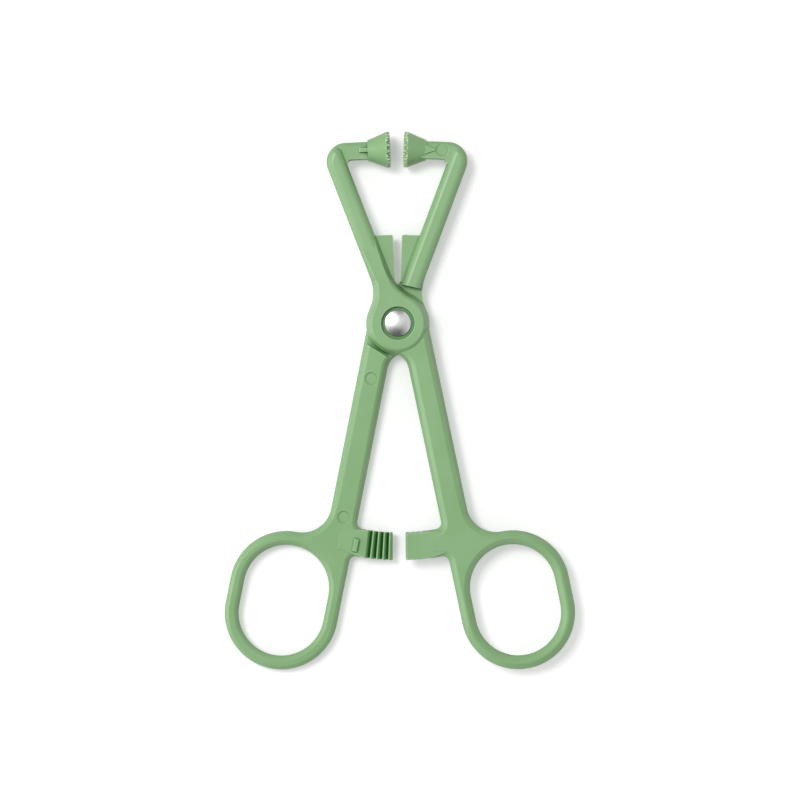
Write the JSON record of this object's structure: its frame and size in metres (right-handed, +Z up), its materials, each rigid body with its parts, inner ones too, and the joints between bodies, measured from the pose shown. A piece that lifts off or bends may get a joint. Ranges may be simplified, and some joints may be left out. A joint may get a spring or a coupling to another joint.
{
  "type": "locking forceps",
  "caption": "Locking forceps: crossed plastic arms on a steel rivet, with finger rings, toothed ratchet bars and facing cone-shaped jaw pads covered in gripping points.",
  "frame": {"origin": "on the pivot axis, in the plane of the back arm's boss face, which is the plane the forceps is laid on", "axes": "+Y towards the jaws along the axis of symmetry, +Z up along the pivot axis, +X to the right seen from above"},
  "size_m": [0.0788, 0.1209, 0.008],
  "materials": {
    "green_plastic": "satin moulded plastic",
    "steel": "polished steel"
  },
  "bodies": {
    "back_arm": {"back_arm": "green_plastic", "pivot_rivet": "steel"},
    "front_arm": {"front_arm": "green_plastic"}
  },
  "joints": [
    {"name": "pivot", "type": "hinge", "parent": "back_arm", "child": "front_arm", "pos_m": [0, 0, 0.004], "axis": [0, 0, 1], "range_deg": [-4.1, 78]}
  ]
}
